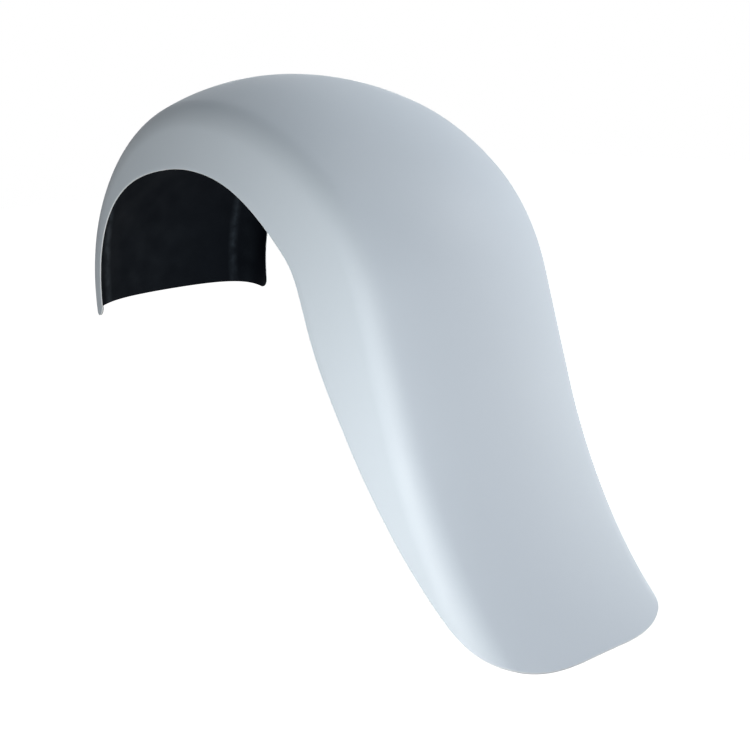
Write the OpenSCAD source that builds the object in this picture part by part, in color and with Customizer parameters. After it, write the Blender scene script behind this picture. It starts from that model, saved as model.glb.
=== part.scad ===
// Rear fender for a wide-tyred motorcycle: one moulded shell with a domed crown, soft shoulders,
// flat parallel sides and a flipped-up tail. It is drawn in the bike's frame: the wheel axle is the
// origin, the nose points forward along +X, +Y is the left side and +Z is up.

/* [Shell] */
// Thickness of the moulded wall
wall = 3; // [2:0.5:5]

/* [Centreline] */
// Lean of the nose edge, counted from straight up toward the rear
nose_lean = -92; // [-96:1:-88]
// Radius of the run ahead of the wheel
nose_radius = 290; // [270:5:320]
// Turn of the run ahead of the wheel
nose_turn = 37; // [33:1:41]
// Radius where the front rolls over into the top, centred on the axle
brow_radius = 358; // [342:2:380]
// Turn of the brow
brow_turn = 55; // [50:1:60]
// Radius over the top of the wheel
top_radius = 475; // [430:5:520]
// Turn of the top run
top_turn = 37; // [33:1:41]
// Radius behind the wheel
back_radius = 260; // [240:5:290]
// Turn of the run behind the wheel
back_turn = 39; // [35:1:43]
// Straight length between the back run and the tail
back_straight = 143; // [115:1:170]
// Radius where the tail starts to flip up, bent the other way
tail_radius = 640; // [580:10:700]
// Turn of the start of the tail
tail_turn = 16; // [11:1:20]
// Radius of the end of the tail
flip_radius = 440; // [380:10:500]
// Turn of the end of the tail
flip_turn = 18; // [13:1:23]

/* [Cross-section] */
// Width over the flat sides
width = 300; // [280:2:320]
// Radius of the domed crown
crown_radius = 335; // [305:5:375]
// Radius of the crown at the end of the tail, where it has flattened
crown_tail_radius = 720; // [500:10:940]
// Share of the length after which the crown flattens
flatten_start = 0.6; // [0.5:0.05:0.8]
// Radius of the shoulders
shoulder_radius = 39; // [32:1:46]

/* [Skirts] */
// Depth of the skirt edge below the crown line, at the nose
skirt_nose = 66; // [60:1:78]
// Skirt depth one seventh of the way to the tail
skirt_brow = 71; // [62:1:82]
// Skirt depth two sevenths of the way
skirt_rise = 106; // [92:1:118]
// Skirt depth three sevenths of the way
skirt_top = 123; // [110:1:136]
// Skirt depth four sevenths of the way
skirt_back = 148; // [134:1:162]
// Skirt depth five sevenths of the way
skirt_waist = 155; // [142:1:170]
// Skirt depth six sevenths of the way
skirt_low = 90; // [78:1:102]
// Skirt depth that the tail would have without its tongue
skirt_tail = 11; // [8:1:30]
// Radius of the lower corners at the nose
corner_radius = 13; // [8:1:20]
// How much lower the skirts end at the nose than the crown does
nose_drop = 17; // [0:1:25]
// Length over which that drop dies out
nose_drop_length = 60; // [40:5:100]

/* [Tail] */
// Length over which the tail narrows to its rounded end
tongue_length = 120; // [100:2:150]
// Fullness of the tongue: 2 is an ellipse, more is squarer
tongue_power = 4; // [3:0.1:5]

/* [Hidden] */

PRIMER = [0.74, 0.78, 0.81];
RAD = 180 / PI;

// Runs of the centreline from nose to tail: an arc is [radius, turn], a straight is [0, length]
RUNS = [
    [nose_radius, nose_turn],
    [brow_radius, brow_turn],
    [top_radius, top_turn],
    [back_radius, back_turn],
    [0, back_straight],
    [-tail_radius, -tail_turn],
    [-flip_radius, -flip_turn]
];

// Skirt depths, evenly spaced along the centreline from nose to tail
SKIRTS = [skirt_nose, skirt_brow, skirt_rise, skirt_top, skirt_back, skirt_waist, skirt_low, skirt_tail];

half_width = width / 2;

// Grid steps: along the nose corner, the body and the tongue, and over half the crown, a shoulder and a side
CORNER_ROWS = 4;
BODY_ROWS = 44;
TONGUE_ROWS = 11;
CROWN_COLUMNS = 5;
SHOULDER_COLUMNS = 6;
SIDE_COLUMNS = 2;
// The last row stops just short of the tongue's end, so that the tip keeps a short straight edge
TIP_SHARE = 0.94;
// Least share of the girth that is left to the flat side when the grid is spaced
LEAST_SIDE = 0.04;
// How late over the girth the drop of the nose edge sets in
DROP_POWER = 5;

// Smooth curve through evenly spaced values, read at share t of the way
function smooth(values, t) =
    let (
        last = len(values) - 1,
        place = min(max(t, 0), 1) * last,
        i = min(floor(place), last - 1),
        f = place - i,
        a = values[i],
        b = values[i + 1],
        slope_a = i == 0 ? b - a : (b - values[i - 1]) / 2,
        slope_b = i == last - 1 ? b - a : (values[i + 2] - a) / 2
    )
    a * (1 + 2 * f) * pow(1 - f, 2) + slope_a * f * pow(1 - f, 2)
        + b * f * f * (3 - 2 * f) + slope_b * f * f * (f - 1);

function run_length(run) = run[0] == 0 ? run[1] : run[0] * run[1] / RAD;
function total(lengths, k = 0) = k == len(lengths) ? 0 : lengths[k] + total(lengths, k + 1);
LENGTH = total([for (run = RUNS) run_length(run)]);

// Place [x, z, lean] after a distance along one run, from the place where the run starts
function along(run, distance, from) =
    let (lean = run[0] == 0 ? from[2] : from[2] + distance / run[0] * RAD)
    run[0] == 0
        ? [from[0] - distance * cos(lean), from[1] - distance * sin(lean), lean]
        : [
            from[0] - run[0] * (sin(lean) - sin(from[2])),
            from[1] + run[0] * (cos(lean) - cos(from[2])),
            lean
        ];

// Place after a distance along the whole centreline, run by run
function walk(distance, from, k = 0) =
    let (length = run_length(RUNS[k]))
    distance <= length || k == len(RUNS) - 1
        ? along(RUNS[k], distance, from)
        : walk(distance - length, along(RUNS[k], length, from), k + 1);

// The nose is placed so that the centre of the brow's arc falls on the axle
BROW_START = along(RUNS[0], run_length(RUNS[0]), [0, 0, nose_lean]);
NOSE = [
    -BROW_START[0] - brow_radius * sin(BROW_START[2]),
    -BROW_START[1] + brow_radius * cos(BROW_START[2]),
    nose_lean
];

// Section at a distance from the nose: [crown radius, angle at which the crown meets the shoulder,
// depth at which the crown ends, depth at which the shoulder ends, girth of half the crown,
// girth of one shoulder]
function section(distance) =
    let (
        flattened = pow(max(distance / LENGTH - flatten_start, 0) / (1 - flatten_start), 2),
        crown = crown_radius + (crown_tail_radius - crown_radius) * flattened,
        turn = asin((half_width - shoulder_radius) / (crown - shoulder_radius)),
        crown_depth = crown * (1 - cos(turn)),
        shoulder_depth = crown_depth + shoulder_radius * cos(turn)
    )
    [crown, turn, crown_depth, shoulder_depth, crown * turn / RAD, shoulder_radius * (90 - turn) / RAD];

// Girth of a section from the crown line to the skirt edge, before the tongue narrows it
function full_girth(sec, distance) =
    let (
        corner = max(1 - distance / corner_radius, 0),
        skirt = smooth(SKIRTS, distance / LENGTH) - corner_radius * (1 - sqrt(1 - corner * corner))
    )
    skirt >= sec[3]
        ? sec[4] + sec[5] + skirt - sec[3]
        : skirt >= sec[2]
            ? sec[4] + shoulder_radius * (acos((sec[3] - skirt) / shoulder_radius) - sec[1]) / RAD
            : sec[0] * acos(1 - skirt / sec[0]) / RAD;

// Share of the full girth that the tongue keeps: 1 before it, falling to 0 at its tip
function tongue_share(distance) =
    let (u = max(distance - LENGTH + tongue_length, 0) / tongue_length)
    pow(max(1 - pow(u, tongue_power), 0), 1 / tongue_power);

// Point of a section at a girth from the crown line: [across, depth below the crown line, lean]
function girth_point(sec, girth) =
    girth < sec[4]
        ? let (a = girth / sec[0] * RAD)
            [sec[0] * sin(a), sec[0] * (1 - cos(a)), a]
        : girth < sec[4] + sec[5]
            ? let (a = sec[1] + (girth - sec[4]) / shoulder_radius * RAD)
                [half_width - shoulder_radius * (1 - sin(a)), sec[3] - shoulder_radius * cos(a), a]
            : [half_width, sec[3] + girth - sec[4] - sec[5], 90];

// Shares of a full girth at the grid's columns, fine round the shoulder and coarser elsewhere
function columns(sec, full) =
    let (
        crown_end = min(sec[4] / full, 1 - 2 * LEAST_SIDE),
        shoulder_end = min((sec[4] + sec[5]) / full, 1 - LEAST_SIDE)
    )
    [
        for (k = [0:CROWN_COLUMNS - 1]) crown_end * k / CROWN_COLUMNS,
        for (k = [0:SHOULDER_COLUMNS - 1]) crown_end + (shoulder_end - crown_end) * k / SHOULDER_COLUMNS,
        for (k = [0:SIDE_COLUMNS]) shoulder_end + (1 - shoulder_end) * k / SIDE_COLUMNS
    ];

// Distances of the grid's rows: fine round the nose corner, even along the body, closing up on the tip
ROWS = [
    for (k = [0:CORNER_ROWS - 1]) corner_radius * (1 - cos(90 * k / CORNER_ROWS)),
    for (k = [0:BODY_ROWS - 1])
        corner_radius + (LENGTH - tongue_length - corner_radius) * k / BODY_ROWS,
    for (k = [0:TONGUE_ROWS])
        LENGTH - tongue_length + tongue_length * pow(sin(90 * TIP_SHARE * k / TONGUE_ROWS), 2 / tongue_power)
];

// One row of the shell, from the right edge over the crown to the left edge, a distance in from its face
function row(distance, inset) =
    let (
        sec = section(distance),
        full = full_girth(sec, distance),
        girth = full * tongue_share(distance),
        shares = columns(sec, full),
        last = len(shares) - 1
    )
    [for (k = [-last:last])
        let (
            side = k < 0 ? -1 : 1,
            drop = nose_drop * pow(shares[abs(k)], DROP_POWER) * max(1 - distance / nose_drop_length, 0),
            place = walk(distance - drop, NOSE),
            p = girth_point(sec, girth * shares[abs(k)]),
            depth = p[1] + inset * cos(p[2])
        )
        [
            place[0] + depth * sin(place[2]),
            side * (p[0] - inset * sin(p[2])),
            place[1] - depth * cos(place[2])
        ]];

// Closed shell from an outer and an inner grid of the same rows and columns, with a rim round both
module shell(outer, inner) {
    rows = len(outer);
    cols = len(outer[0]);
    inner_start = rows * cols;
    function at(i, j) = i * cols + j;
    function pair(a, b, c, d) = [[a, c, b], [a, d, c]];
    faces = [
        for (i = [0:rows - 2], j = [0:cols - 2])
            each pair(at(i, j), at(i, j + 1), at(i + 1, j + 1), at(i + 1, j)),
        for (i = [0:rows - 2], j = [0:cols - 2])
            each pair(inner_start + at(i, j), inner_start + at(i + 1, j),
                inner_start + at(i + 1, j + 1), inner_start + at(i, j + 1)),
        for (j = [0:cols - 2])
            each pair(at(0, j + 1), at(0, j), inner_start + at(0, j), inner_start + at(0, j + 1)),
        for (j = [0:cols - 2])
            each pair(at(rows - 1, j), at(rows - 1, j + 1),
                inner_start + at(rows - 1, j + 1), inner_start + at(rows - 1, j)),
        for (i = [0:rows - 2])
            each pair(at(i, 0), at(i + 1, 0), inner_start + at(i + 1, 0), inner_start + at(i, 0)),
        for (i = [0:rows - 2])
            each pair(at(i + 1, cols - 1), at(i, cols - 1),
                inner_start + at(i, cols - 1), inner_start + at(i + 1, cols - 1))
    ];
    polyhedron([for (r = outer) each r, for (r = inner) each r], faces);
}

// The whole fender
module fender() {
    color(PRIMER)
        shell([for (s = ROWS) row(s, 0)], [for (s = ROWS) row(s, wall)]);
}

fender();
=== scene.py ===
"""Looks of the rear fender: a smooth shell with primer, black inside and cut edge, in a pale studio."""
import math

import bpy
from mathutils import Matrix, Vector


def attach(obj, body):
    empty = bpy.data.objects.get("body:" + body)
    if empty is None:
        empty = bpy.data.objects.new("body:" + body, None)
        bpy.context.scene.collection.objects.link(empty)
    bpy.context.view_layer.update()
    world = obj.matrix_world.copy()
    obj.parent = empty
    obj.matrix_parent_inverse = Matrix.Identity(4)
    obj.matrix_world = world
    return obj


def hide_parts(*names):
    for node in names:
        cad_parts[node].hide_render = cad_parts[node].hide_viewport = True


# Driving dimensions, in millimetres and degrees, as in the part's source
WALL = 3
NOSE_LEAN = -92
NOSE_RADIUS, NOSE_TURN = 290, 37
BROW_RADIUS, BROW_TURN = 358, 55
TOP_RADIUS, TOP_TURN = 475, 37
BACK_RADIUS, BACK_TURN = 260, 39
BACK_STRAIGHT = 143
TAIL_RADIUS, TAIL_TURN = 640, 16
FLIP_RADIUS, FLIP_TURN = 440, 18
HALF_WIDTH = 150
CROWN_RADIUS, CROWN_TAIL_RADIUS = 335, 720
FLATTEN_START = 0.6
SHOULDER_RADIUS = 39
SKIRTS = [66, 71, 106, 123, 148, 155, 90, 11]
CORNER_RADIUS = 13
NOSE_DROP = 17
NOSE_DROP_LENGTH = 60
DROP_POWER = 5
TONGUE_LENGTH = 120
TONGUE_POWER = 4
TIP_SHARE = 0.94
MM = 0.001

# Runs of the centreline from nose to tail: an arc is (radius, turn), a straight is (0, length)
RUNS = [
    (NOSE_RADIUS, math.radians(NOSE_TURN)),
    (BROW_RADIUS, math.radians(BROW_TURN)),
    (TOP_RADIUS, math.radians(TOP_TURN)),
    (BACK_RADIUS, math.radians(BACK_TURN)),
    (0, BACK_STRAIGHT),
    (-TAIL_RADIUS, -math.radians(TAIL_TURN)),
    (-FLIP_RADIUS, -math.radians(FLIP_TURN)),
]

# Rounding of the cut edge, and depth below the outer face from which the inside's black covers that edge
EDGE_ROUND = 0.8
PAINT_LINE = 1.5
# Gap that the smooth shell keeps inside the box of the solid's facets
BOX_GAP = 0.05

# Grid steps along the nose corner, body and tongue, and over half the crown, a shoulder and a side
CORNER_ROWS = 10
BODY_ROWS = 190
TONGUE_ROWS = 36
CROWN_COLUMNS = 20
SHOULDER_COLUMNS = 16
SIDE_COLUMNS = 8
# Least share of the girth that a shoulder or a side gets, and least half girth of a row in millimetres
LEAST_SIDE = 0.04
LEAST_GIRTH = 0.1

# Camera, from fitting the shell's outline to the photo
CAMERA_AZIMUTH = 231.2
CAMERA_ELEVATION = 13.55
CAMERA_ROLL = -2.84
CAMERA_DISTANCE = 1.803
CAMERA_TARGET = (-0.1728, 0, -0.031)
LENS_MM = 65.9
SENSOR_MM = 36
CAMERA_REACH = 100

# Places of the materials in the shell's list
PRIMER_SLOT, INSIDE_SLOT, EDGE_SLOT = 0, 1, 2

# Colours, as linear values
PRIMER_COLOUR = (0.59, 0.66, 0.73)
INSIDE_COLOUR = (0.0018, 0.0022, 0.0036)
EDGE_COLOUR = (0.70, 0.74, 0.77)

# Noises, as scale and detail, and the range where most of a noise's values lie
MOTTLE = (9, 3)
ORANGE_PEEL = (420, 2)
LAY_UP_GLOSS = (30, 3)
LAY_UP_RELIEF = (45, 3)
# The next noise makes the patches that break up the painted highlight on the inner shoulders
PAINTED_HIGHLIGHT_PATCHES = (90, 3)
NOISE_RANGE = (0.3, 0.7)

# Gloss of the primer, the inside and the cut edge
PRIMER_SHEEN = 0.4
PRIMER_ROUGHNESS = (0.5, 0.6)
INSIDE_TINT = (0.6, 0.8, 1)
INSIDE_ROUGHNESS = (0.5, 0.7)
EDGE_ROUGHNESS = 0.6

# Relief, as strength and depth in metres
ORANGE_PEEL_RELIEF = (0.04, 0.0002)
INSIDE_RELIEF = (0.2, 0.002)

# Sheen of the inside, and of the painted highlight along each inner shoulder: a band of raised sheen that
# stands in for a lamp's reflection in the concave shoulder.
# The band has its distance from the middle and its half width in metres, and the share of it that the
# patches leave
INSIDE_SHEEN = 0.065
PAINTED_HIGHLIGHT_SHEEN = 0.32
PAINTED_HIGHLIGHT_PLACE = 0.114
PAINTED_HIGHLIGHT_HALF = 0.008
PAINTED_HIGHLIGHT_LEFT = (0.2, 1)

# Soft square lamps: name, place and side in metres, power in watts, and colour
LAMPS = [
    ("left_side", (-0.44, 0.78, -0.24), 0.4, 3.5, (1, 0.97, 0.92)),
    ("left_rear", (-0.68, 0.76, 0.02), 0.4, 1.95, (1, 1, 1)),
    ("left_front", (-0.40, 0.85, 0.05), 0.4, 0.55, (0.8, 0.95, 1)),
    ("low_rear", (-1.32, 0.21, -0.44), 0.6, 1.95, (0.94, 0.94, 1)),
    ("right_low_rear", (-0.90, -0.94, -0.44), 0.6, 7.4, (1, 0.98, 0.92)),
    ("right_rear", (-1.23, -0.64, 0.23), 0.6, 1.7, (0.94, 0.94, 1)),
    ("right_high", (-0.82, -0.70, 0.84), 0.6, 5.2, (1, 1, 1)),
    ("top", (-0.43, -0.08, 1.24), 0.6, 3.45, (0.95, 0.98, 1)),
    ("front", (1.10, -0.90, 0.25), 0.6, 6.0, (0.95, 0.98, 1)),
]
LAMP_TARGET = (-0.12, 0, 0)
WORLD_STRENGTH = 0.02
FLOOR_COLOUR = (0.8, 0.8, 0.8)
FLOOR_ROUGHNESS = 0.9
FLOOR_Z = -1.1
FLOOR_HALF = 12
# Light that the floor adds where it is seen, straight or mirrored, and the distances in metres over which
# it rises. At 1 the floor reads white and shows no shadow
LIFT_NEAR, LIFT_FAR = 0.72, 1
LIFT_START, LIFT_END = 0.5, 0.9


def smooth(values, t):
    """Smooth curve through evenly spaced values, read at share t of the way."""
    last = len(values) - 1
    place = min(max(t, 0), 1) * last
    i = min(int(place), last - 1)
    f = place - i
    a, b = values[i], values[i + 1]
    slope_a = b - a if i == 0 else (b - values[i - 1]) / 2
    slope_b = b - a if i == last - 1 else (values[i + 2] - a) / 2
    return (
        a * (1 + 2 * f) * (1 - f) ** 2
        + slope_a * f * (1 - f) ** 2
        + b * f * f * (3 - 2 * f)
        + slope_b * f * f * (f - 1)
    )


def run_length(run):
    return run[1] if run[0] == 0 else run[0] * run[1]


def along(run, distance, start):
    """Place (x, z, lean) after a distance along one run, from the place where it starts."""
    x, z, lean = start
    if run[0] == 0:
        return x - distance * math.cos(lean), z - distance * math.sin(lean), lean
    end = lean + distance / run[0]
    ahead = run[0] * (math.sin(end) - math.sin(lean))
    rise = run[0] * (math.cos(end) - math.cos(lean))
    return x - ahead, z + rise, end


def nose_place():
    """Place of the nose, so that the centre of the brow's arc falls on the axle."""
    x, z, lean = along(RUNS[0], run_length(RUNS[0]), (0, 0, math.radians(NOSE_LEAN)))
    return -x - BROW_RADIUS * math.sin(lean), -z + BROW_RADIUS * math.cos(lean), math.radians(NOSE_LEAN)


def walk(distance, start):
    """Place after a distance along the whole centreline, run by run."""
    place = start
    for run in RUNS[:-1]:
        length = run_length(run)
        if distance <= length:
            return along(run, distance, place)
        place = along(run, length, place)
        distance -= length
    return along(RUNS[-1], distance, place)


LENGTH = sum(run_length(run) for run in RUNS)
NOSE = nose_place()


def section(distance):
    """Crown's radius, turn and depth, shoulder's depth, and girths of half the crown and a shoulder."""
    flattened = (max(distance / LENGTH - FLATTEN_START, 0) / (1 - FLATTEN_START)) ** 2
    crown = CROWN_RADIUS + (CROWN_TAIL_RADIUS - CROWN_RADIUS) * flattened
    turn = math.asin((HALF_WIDTH - SHOULDER_RADIUS) / (crown - SHOULDER_RADIUS))
    crown_depth = crown * (1 - math.cos(turn))
    shoulder_depth = crown_depth + SHOULDER_RADIUS * math.cos(turn)
    return crown, turn, crown_depth, shoulder_depth, crown * turn, SHOULDER_RADIUS * (math.pi / 2 - turn)


def full_girth(sec, distance):
    """Girth of a section from the crown line to the skirt edge, before the tongue narrows it."""
    crown, turn, crown_depth, shoulder_depth, crown_girth, shoulder_girth = sec
    corner = max(1 - distance / CORNER_RADIUS, 0)
    skirt = smooth(SKIRTS, distance / LENGTH) - CORNER_RADIUS * (1 - math.sqrt(1 - corner * corner))
    if skirt >= shoulder_depth:
        return crown_girth + shoulder_girth + skirt - shoulder_depth
    if skirt >= crown_depth:
        lean = math.acos((shoulder_depth - skirt) / SHOULDER_RADIUS)
        return crown_girth + SHOULDER_RADIUS * (lean - turn)
    return crown * math.acos(1 - skirt / crown)


def tongue_share(distance):
    """Share of the full girth that the tongue keeps."""
    u = max(distance - LENGTH + TONGUE_LENGTH, 0) / TONGUE_LENGTH
    return max(1 - u**TONGUE_POWER, 0) ** (1 / TONGUE_POWER)


def girth_point(sec, girth):
    """Point (across, depth below the crown line, lean of the surface) at a girth from the crown line."""
    crown, turn, crown_depth, shoulder_depth, crown_girth, shoulder_girth = sec
    if girth < crown_girth:
        a = girth / crown
        return crown * math.sin(a), crown * (1 - math.cos(a)), a
    if girth < crown_girth + shoulder_girth:
        a = turn + (girth - crown_girth) / SHOULDER_RADIUS
        across = HALF_WIDTH - SHOULDER_RADIUS * (1 - math.sin(a))
        return across, shoulder_depth - SHOULDER_RADIUS * math.cos(a), a
    return HALF_WIDTH, shoulder_depth + girth - crown_girth - shoulder_girth, math.pi / 2


def columns(sec, full):
    """Shares of the girth at the grid's columns, from the crown line to the edge."""
    crown_end = min(sec[4] / full, 1 - 2 * LEAST_SIDE)
    shoulder_end = min((sec[4] + sec[5]) / full, 1 - LEAST_SIDE)
    return (
        [crown_end * k / CROWN_COLUMNS for k in range(CROWN_COLUMNS)]
        + [crown_end + (shoulder_end - crown_end) * k / SHOULDER_COLUMNS for k in range(SHOULDER_COLUMNS)]
        + [shoulder_end + (1 - shoulder_end) * k / SIDE_COLUMNS for k in range(SIDE_COLUMNS + 1)]
    )


def rows():
    """Distances of the grid's rows: fine round the nose corner, even on the body, closing up on the tip."""
    body = LENGTH - TONGUE_LENGTH - CORNER_RADIUS
    half_pi = math.pi / 2
    return (
        [CORNER_RADIUS * (1 - math.cos(half_pi * k / CORNER_ROWS)) for k in range(CORNER_ROWS)]
        + [CORNER_RADIUS + body * k / BODY_ROWS for k in range(BODY_ROWS)]
        + [
            LENGTH - TONGUE_LENGTH
            + TONGUE_LENGTH * math.sin(half_pi * TIP_SHARE * k / TONGUE_ROWS) ** (2 / TONGUE_POWER)
            for k in range(TONGUE_ROWS + 1)
        ]
    )


def grid(shrink, inset):
    """Rows of points over the shell, drawn in from its border by shrink and from its face by inset."""
    points = []
    for s in rows():
        distance = shrink + s * (LENGTH - 2 * shrink) / LENGTH
        sec = section(s)
        full = full_girth(sec, s)
        girth = max(full * tongue_share(s) - shrink, LEAST_GIRTH)
        shares = columns(sec, full)
        last = len(shares) - 1
        line = []
        for k in range(-last, last + 1):
            drop = NOSE_DROP * shares[abs(k)] ** DROP_POWER * max(1 - s / NOSE_DROP_LENGTH, 0)
            x, z, lean = walk(distance - drop, NOSE)
            across, depth, a = girth_point(sec, girth * shares[abs(k)])
            deep = depth + inset * math.cos(a)
            side = -1 if k < 0 else 1
            y = side * (across - inset * math.sin(a))
            line.append((MM * (x + deep * math.sin(lean)), MM * y, MM * (z - deep * math.cos(lean))))
        points.append(line)
    return points


def border(points):
    """The grid's outline as one closed loop of points."""
    first, last = points[0], points[-1]
    right = [line[0] for line in points]
    left = [line[-1] for line in points]
    return first[:-1] + left[:-1] + last[:0:-1] + right[:0:-1]


def primer_material():
    """Satin blue-grey primer: even colour, a faint spray mottle in the gloss and a fine orange peel."""
    material, nodes, links, shader = new_material("primer")
    shader.inputs["Base Color"].default_value = (*PRIMER_COLOUR, 1)
    shader.inputs["Specular IOR Level"].default_value = PRIMER_SHEEN
    gloss = span(nodes, links, noise(nodes, links, *MOTTLE), NOISE_RANGE, PRIMER_ROUGHNESS)
    links.new(gloss, shader.inputs["Roughness"])
    bump(nodes, links, shader, noise(nodes, links, *ORANGE_PEEL), *ORANGE_PEEL_RELIEF)
    return material


def inside_material():
    """Black inside face, a little uneven from laying up by hand, with a painted highlight along each inner
    shoulder.
    """
    material, nodes, links, shader = new_material("inside_black")
    shader.inputs["Base Color"].default_value = (*INSIDE_COLOUR, 1)
    shader.inputs["Specular Tint"].default_value = (*INSIDE_TINT, 1)
    # Painted highlight: the sheen is raised in a band along each inner shoulder
    sheen_with_painted_highlight = span(nodes, links, painted_shoulder_highlight(nodes, links), (0, 1), (INSIDE_SHEEN, PAINTED_HIGHLIGHT_SHEEN))
    links.new(sheen_with_painted_highlight, shader.inputs["Specular IOR Level"])
    gloss = span(nodes, links, noise(nodes, links, *LAY_UP_GLOSS), NOISE_RANGE, INSIDE_ROUGHNESS)
    links.new(gloss, shader.inputs["Roughness"])
    bump(nodes, links, shader, noise(nodes, links, *LAY_UP_RELIEF), *INSIDE_RELIEF)
    return material


def painted_shoulder_highlight(nodes, links):
    """1 along the middle of the painted highlight band on each inner shoulder, patchy, and 0 beside it."""
    place = nodes.new("ShaderNodeTexCoord")
    axes = nodes.new("ShaderNodeSeparateXYZ")
    links.new(place.outputs["Object"], axes.inputs["Vector"])
    across = maths(nodes, links, "ABSOLUTE", axes.outputs["Y"])
    aside = maths(nodes, links, "ABSOLUTE", maths(nodes, links, "SUBTRACT", across, PAINTED_HIGHLIGHT_PLACE))
    # Band of painted highlight at a set distance across from the middle
    painted_highlight_band = span(nodes, links, aside, (0, PAINTED_HIGHLIGHT_HALF), (1, 0))
    patches = span(nodes, links, noise(nodes, links, *PAINTED_HIGHLIGHT_PATCHES), NOISE_RANGE, PAINTED_HIGHLIGHT_LEFT)
    return maths(nodes, links, "MULTIPLY", painted_highlight_band, patches)


def maths(nodes, links, operation, one, two=0):
    """Result of one sum on a value, with a second value or number."""
    step = nodes.new("ShaderNodeMath")
    step.operation = operation
    links.new(one, step.inputs[0])
    if isinstance(two, (int, float)):
        step.inputs[1].default_value = two
    else:
        links.new(two, step.inputs[1])
    return step.outputs["Value"]


def edge_material():
    """Pale bare edge where the shell was trimmed."""
    material, nodes, links, shader = new_material("cut_edge")
    shader.inputs["Base Color"].default_value = (*EDGE_COLOUR, 1)
    shader.inputs["Roughness"].default_value = EDGE_ROUGHNESS
    return material


def noise(nodes, links, scale, detail):
    """Noise in the object's own metres, from 0 to 1."""
    place = nodes.new("ShaderNodeTexCoord")
    texture = nodes.new("ShaderNodeTexNoise")
    texture.inputs["Scale"].default_value = scale
    texture.inputs["Detail"].default_value = detail
    links.new(place.outputs["Object"], texture.inputs["Vector"])
    return texture.outputs["Fac"]


def span(nodes, links, value, taken, given):
    """A value taken between two limits and given out between two others."""
    spread = nodes.new("ShaderNodeMapRange")
    spread.inputs["From Min"].default_value = taken[0]
    spread.inputs["From Max"].default_value = taken[1]
    spread.inputs["To Min"].default_value = given[0]
    spread.inputs["To Max"].default_value = given[1]
    links.new(value, spread.inputs["Value"])
    return spread.outputs["Result"]


def bump(nodes, links, shader, height, strength, distance):
    """Relief from a height, to a depth in metres."""
    relief = nodes.new("ShaderNodeBump")
    relief.inputs["Strength"].default_value = strength
    relief.inputs["Distance"].default_value = distance
    links.new(height, relief.inputs["Height"])
    links.new(relief.outputs["Normal"], shader.inputs["Normal"])


def new_material(name):
    material = bpy.data.materials.new(name)
    material.use_nodes = True
    nodes, links = material.node_tree.nodes, material.node_tree.links
    return material, nodes, links, nodes["Principled BSDF"]


def shell_form():
    """Points, faces and material places of one closed shell: outer face, inner face and cut edge."""
    bulge = EDGE_ROUND * (1 - math.sqrt(0.5))
    outer = grid(EDGE_ROUND, BOX_GAP)
    inner = grid(EDGE_ROUND, WALL)
    rim = [
        (border(grid(bulge, BOX_GAP + bulge)), EDGE_SLOT),
        (border(grid(0, BOX_GAP + EDGE_ROUND)), EDGE_SLOT),
        (border(grid(0, PAINT_LINE)), EDGE_SLOT),
        (border(grid(0, WALL - EDGE_ROUND)), INSIDE_SLOT),
        (border(grid(bulge, WALL - bulge)), INSIDE_SLOT),
    ]
    row_count, column_count = len(outer), len(outer[0])
    inner_start = row_count * column_count
    points = [p for line in outer + inner for p in line]
    faces, slots = [], []
    for i in range(row_count - 1):
        for j in range(column_count - 1):
            a = i * column_count + j
            quad = (a, a + 1, a + column_count + 1, a + column_count)
            faces.append(quad)
            slots.append(PRIMER_SLOT)
            faces.append(tuple(inner_start + v for v in reversed(quad)))
            slots.append(INSIDE_SLOT)
    outer_loop = border([[i * column_count + j for j in range(column_count)] for i in range(row_count)])
    loops = []
    for loop, slot in rim:
        loops.append((range(len(points), len(points) + len(loop)), slot))
        points += loop
    loops.append(([inner_start + v for v in outer_loop], INSIDE_SLOT))
    one = outer_loop
    for two, slot in loops:
        for k in range(len(one)):
            n = (k + 1) % len(one)
            faces.append((one[n], one[k], two[k], two[n]))
            slots.append(slot)
        one = two
    return points, faces, slots


def shell():
    """The fender's visible piece, on the body that carries it and in place of the solid."""
    points, faces, slots = shell_form()
    mesh = bpy.data.meshes.new("fender_shell")
    mesh.from_pydata(points, [], faces)
    for material in (primer_material(), inside_material(), edge_material()):
        mesh.materials.append(material)
    mesh.polygons.foreach_set("material_index", slots)
    mesh.polygons.foreach_set("use_smooth", [True] * len(faces))
    mesh.update()
    piece = bpy.data.objects.new("fender_shell", mesh)
    bpy.context.scene.collection.objects.link(piece)
    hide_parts("fender")
    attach(piece, "root")


def camera():
    """The photo's camera, set by its azimuth, elevation, roll and distance from the target."""
    azimuth, elevation = math.radians(CAMERA_AZIMUTH), math.radians(CAMERA_ELEVATION)
    roll = math.radians(CAMERA_ROLL)
    back = Vector((
        math.sin(azimuth) * math.cos(elevation),
        -math.cos(azimuth) * math.cos(elevation),
        math.sin(elevation),
    ))
    right = Vector((math.cos(azimuth), math.sin(azimuth), 0))
    up = back.cross(right)
    across = right * math.cos(roll) + up * math.sin(roll)
    upward = up * math.cos(roll) - right * math.sin(roll)
    data = bpy.data.cameras.new("camera")
    data.lens = LENS_MM
    data.sensor_width = SENSOR_MM
    data.clip_end = CAMERA_REACH
    holder = bpy.data.objects.new("camera", data)
    place = Vector(CAMERA_TARGET) + back * CAMERA_DISTANCE
    turned = Matrix((across, upward, back)).transposed().to_4x4()
    holder.matrix_world = Matrix.Translation(place) @ turned
    bpy.context.scene.collection.objects.link(holder)
    bpy.context.scene.camera = holder


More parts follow.
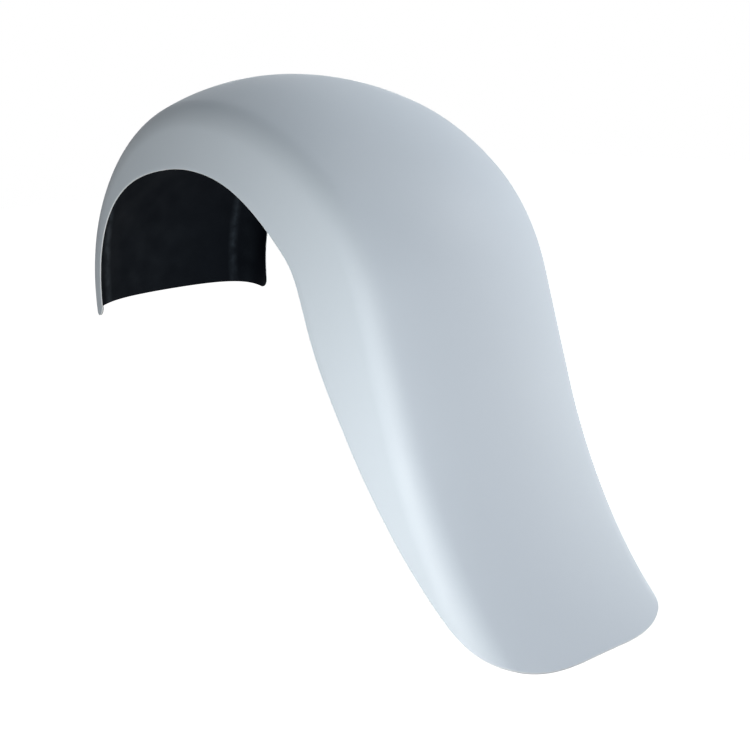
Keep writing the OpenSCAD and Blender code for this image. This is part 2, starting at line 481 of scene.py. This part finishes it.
def area_light(name, place, size, watts, colour):
    """A square soft lamp that faces the middle of the shell."""
    data = bpy.data.lights.new(name, "AREA")
    data.shape = "SQUARE"
    data.size = size
    data.energy = watts
    data.color = colour
    lamp = bpy.data.objects.new(name, data)
    direction = Vector(LAMP_TARGET) - Vector(place)
    turned = direction.to_track_quat("-Z", "Y").to_matrix().to_4x4()
    lamp.matrix_world = Matrix.Translation(place) @ turned
    lamp.visible_camera = False
    bpy.context.scene.collection.objects.link(lamp)


def seen_directly(nodes, links):
    """1 for rays that show the white studio, straight or mirrored, and 0 for those that light things."""
    path = nodes.new("ShaderNodeLightPath")
    glossy, passed = path.outputs["Is Glossy Ray"], path.outputs["Is Transmission Ray"]
    mirrored = maths(nodes, links, "MAXIMUM", glossy, passed)
    return maths(nodes, links, "MAXIMUM", path.outputs["Is Camera Ray"], mirrored)


def studio():
    """Pale floor, soft lamps, and a world that is white where it is seen."""
    world = bpy.data.worlds.new("studio")
    bpy.context.scene.world = world
    world.use_nodes = True
    nodes, links = world.node_tree.nodes, world.node_tree.links
    dim = nodes["Background"]
    dim.inputs["Color"].default_value = (1, 1, 1, 1)
    dim.inputs["Strength"].default_value = WORLD_STRENGTH
    white = nodes.new("ShaderNodeBackground")
    white.inputs["Color"].default_value = (1, 1, 1, 1)
    white.inputs["Strength"].default_value = 1
    mix = nodes.new("ShaderNodeMixShader")
    links.new(seen_directly(nodes, links), mix.inputs["Fac"])
    links.new(dim.outputs["Background"], mix.inputs[1])
    links.new(white.outputs["Background"], mix.inputs[2])
    links.new(mix.outputs["Shader"], nodes["World Output"].inputs["Surface"])
    for name, place, size, watts, colour in LAMPS:
        area_light(name, place, size, watts, colour)
    floor()


def floor():
    """Pale floor: plain where it lights the object, and where it is seen lifted to white by a glow."""
    mesh = bpy.data.meshes.new("floor")
    half = FLOOR_HALF
    corners = [(-half, -half), (half, -half), (half, half), (-half, half)]
    mesh.from_pydata([(x, y, 0) for x, y in corners], [], [(0, 1, 2, 3)])
    plate = bpy.data.objects.new("floor", mesh)
    plate.location.z = FLOOR_Z
    bpy.context.scene.collection.objects.link(plate)
    material, nodes, links, shader = new_material("floor")
    shader.inputs["Base Color"].default_value = (*FLOOR_COLOUR, 1)
    shader.inputs["Roughness"].default_value = FLOOR_ROUGHNESS
    place = nodes.new("ShaderNodeTexCoord")
    reach = nodes.new("ShaderNodeVectorMath")
    reach.operation = "LENGTH"
    links.new(place.outputs["Object"], reach.inputs[0])
    lift = nodes.new("ShaderNodeEmission")
    strength = span(nodes, links, reach.outputs["Value"], (LIFT_START, LIFT_END), (LIFT_NEAR, LIFT_FAR))
    links.new(strength, lift.inputs["Strength"])
    lifted = nodes.new("ShaderNodeAddShader")
    links.new(shader.outputs["BSDF"], lifted.inputs[0])
    links.new(lift.outputs["Emission"], lifted.inputs[1])
    mix = nodes.new("ShaderNodeMixShader")
    links.new(seen_directly(nodes, links), mix.inputs["Fac"])
    links.new(shader.outputs["BSDF"], mix.inputs[1])
    links.new(lifted.outputs["Shader"], mix.inputs[2])
    links.new(mix.outputs["Shader"], nodes["Material Output"].inputs["Surface"])
    mesh.materials.append(material)


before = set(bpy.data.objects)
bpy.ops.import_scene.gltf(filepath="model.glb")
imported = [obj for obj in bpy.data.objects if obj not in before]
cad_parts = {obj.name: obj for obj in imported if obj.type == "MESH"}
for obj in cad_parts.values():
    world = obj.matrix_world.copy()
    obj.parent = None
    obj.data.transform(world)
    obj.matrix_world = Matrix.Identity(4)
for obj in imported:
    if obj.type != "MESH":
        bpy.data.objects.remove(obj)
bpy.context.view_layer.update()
bpy.context.scene.view_settings.view_transform = "Standard"
camera()
shell()
studio()
